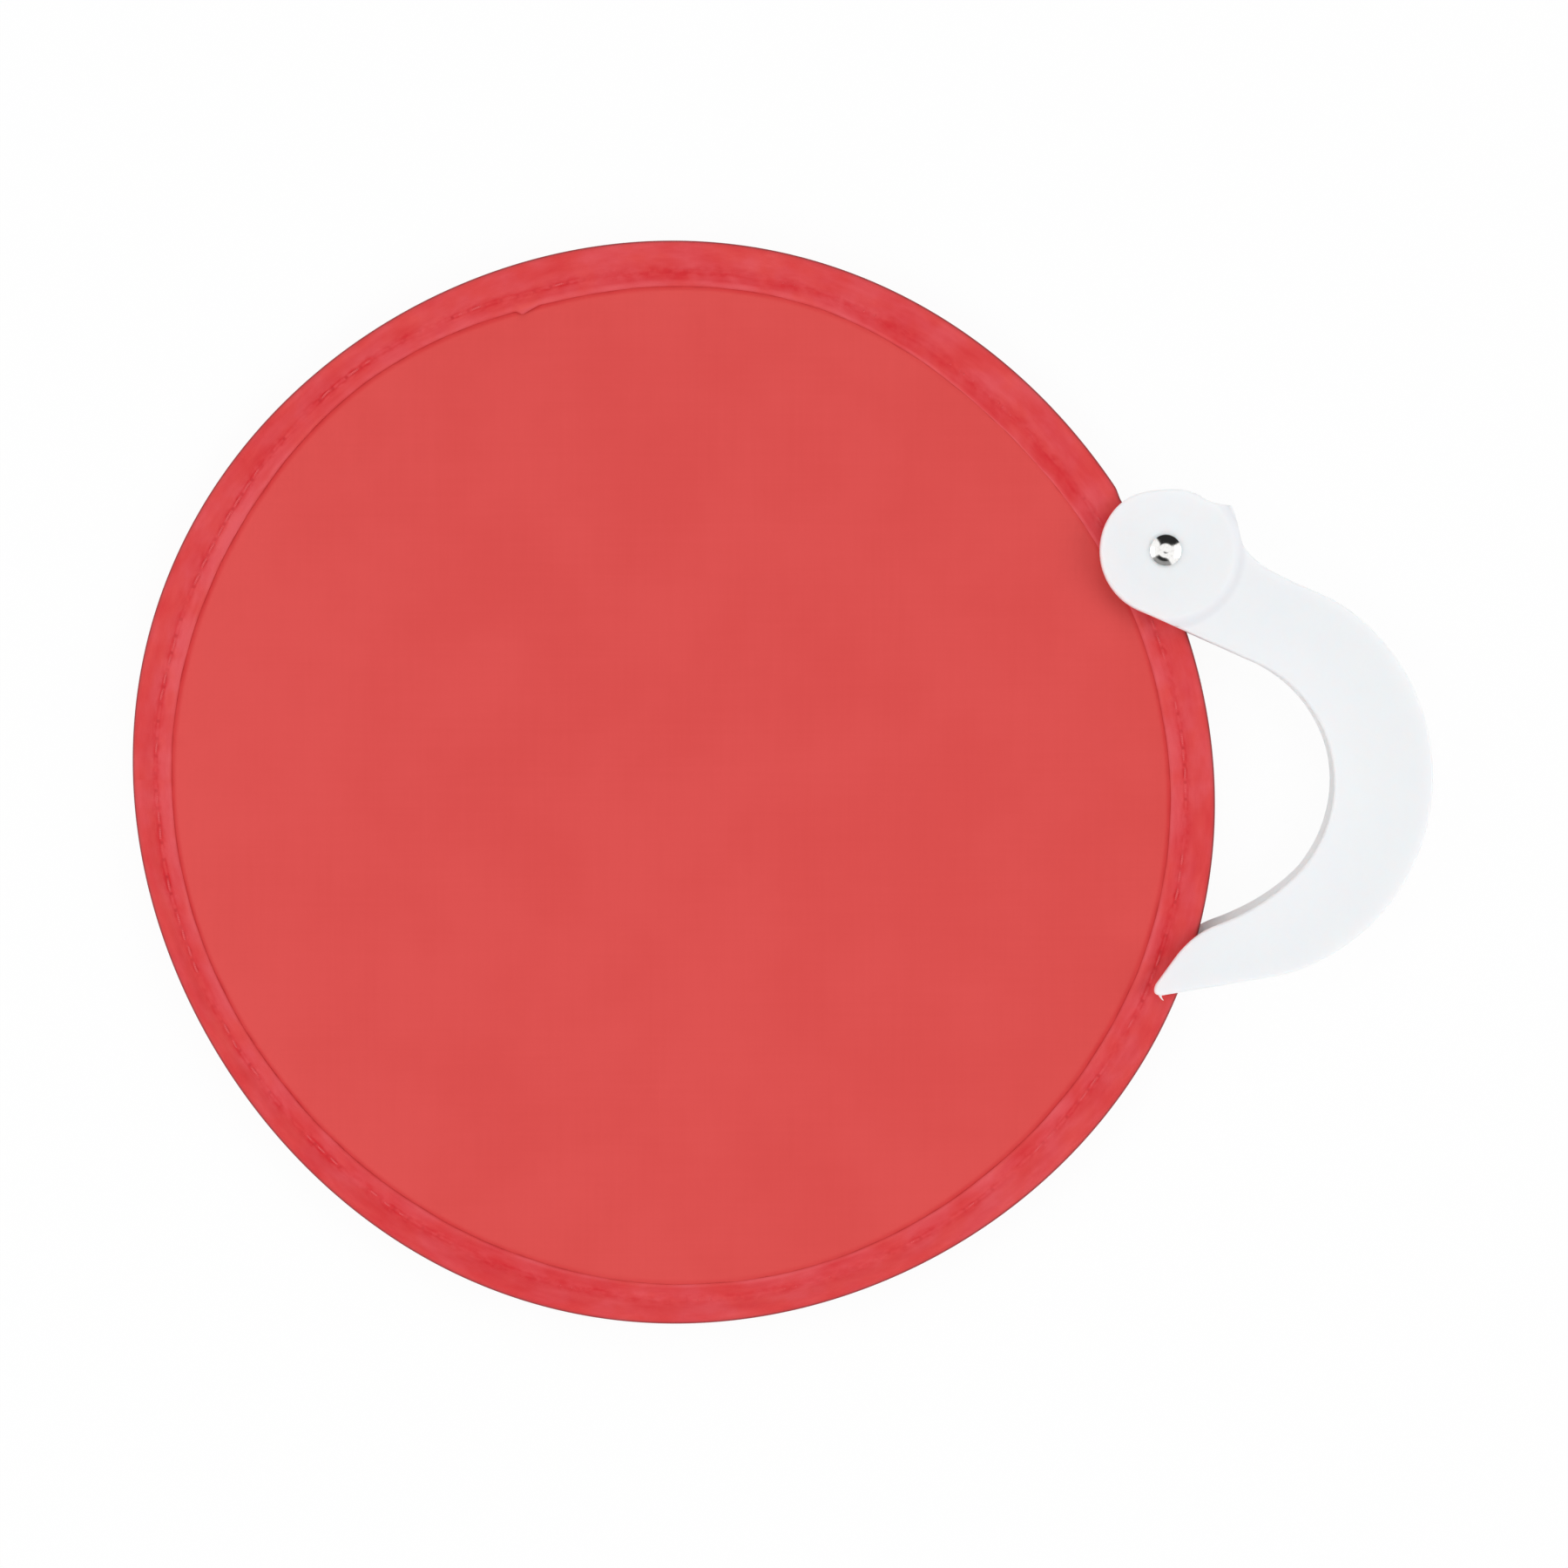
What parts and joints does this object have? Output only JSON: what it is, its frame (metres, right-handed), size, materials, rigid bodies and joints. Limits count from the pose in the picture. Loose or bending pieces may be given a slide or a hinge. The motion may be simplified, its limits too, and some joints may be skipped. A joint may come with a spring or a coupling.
{
  "type": "pop-up hand fan",
  "caption": "Round cloth hand fan held open by a sprung steel hoop in its hem, with a slotted crescent handle that swings on a rivet at the rim.",
  "frame": {"origin": "middle of the footprint, at the level of the handle's back face", "axes": "the fan lies flat, face up: +X from the disc to the handle, +Y from the toe of the handle to its hub, +Z out of the face"},
  "size_m": [0.3006, 0.2508, 0.0115],
  "materials": {
    "panel_cloth": "fine woven coral-red nylon",
    "hem_tape": "woven red binding tape",
    "seam_thread": "red polyester thread",
    "spring_steel": "bare spring steel",
    "milky_plastic": "milky white satin moulding",
    "plated_rivet": "bright nickel plate"
  },
  "bodies": {
    "fan": {"fan_panel": "panel_cloth", "rim_binding": "hem_tape", "seam_thread_front": "seam_thread", "seam_thread_back": "seam_thread", "hoop_band": "spring_steel", "hoop_connector": "milky_plastic"},
    "handle": {"handle_front_shell": "milky_plastic", "handle_back_shell": "milky_plastic", "pivot_rivet": "plated_rivet"}
  },
  "joints": [
    {"name": "handle_swivel", "type": "hinge", "parent": "fan", "child": "handle", "pos_m": [0.08845, 0.05335, 0.0053], "axis": [0, 0, 1], "range_deg": [0, 80]}
  ]
}
